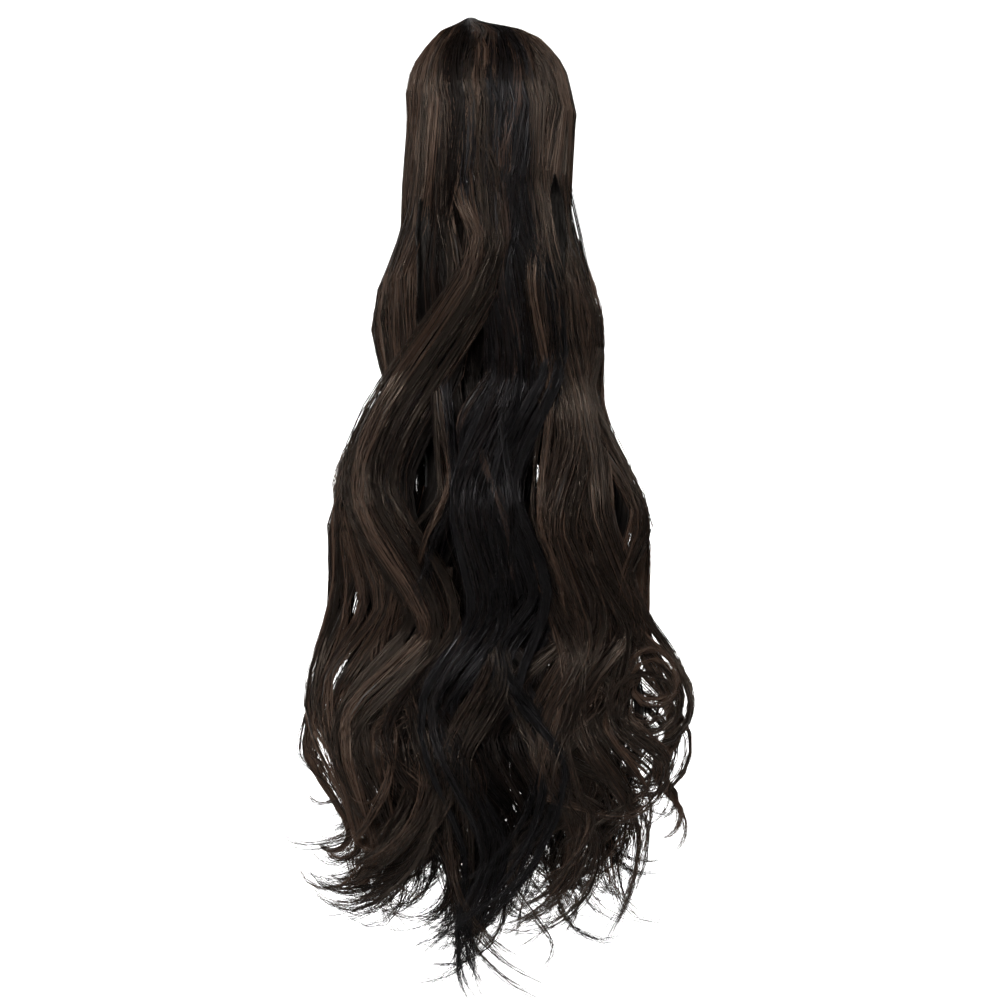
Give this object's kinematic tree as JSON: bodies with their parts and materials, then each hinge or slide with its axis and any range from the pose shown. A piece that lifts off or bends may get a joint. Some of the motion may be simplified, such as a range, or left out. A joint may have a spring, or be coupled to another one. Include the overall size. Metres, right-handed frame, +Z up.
{
  "type": "ponytail hairpiece",
  "caption": "Long wavy dark brown ponytail hairpiece: a dome of hair laid over a jaw clip that opens behind, with layers of wavy locks hanging below and curling at their ends.",
  "frame": {"origin": "middle of the clip's grip, where the wearer's gathered hair goes in", "axes": "+Z up along the hanging hair, -Y towards the outer side that the picture shows, +Y out of the clip's mouth towards the wearer's head"},
  "size_m": [0.2419, 0.0945, 0.5939],
  "materials": {
    "clip_plastic": "black plastic, slightly shiny",
    "weft_band": "black woven band",
    "hair": "very dark brown synthetic fibre, satin"
  },
  "bodies": {
    "root": {"claw_clip": "clip_plastic", "weft_band_left": "weft_band", "weft_band_right": "weft_band", "crown_hair": "hair", "front_hair": "hair", "left_hair": "hair", "right_hair": "hair", "back_hair": "hair"}
  },
  "joints": []
}
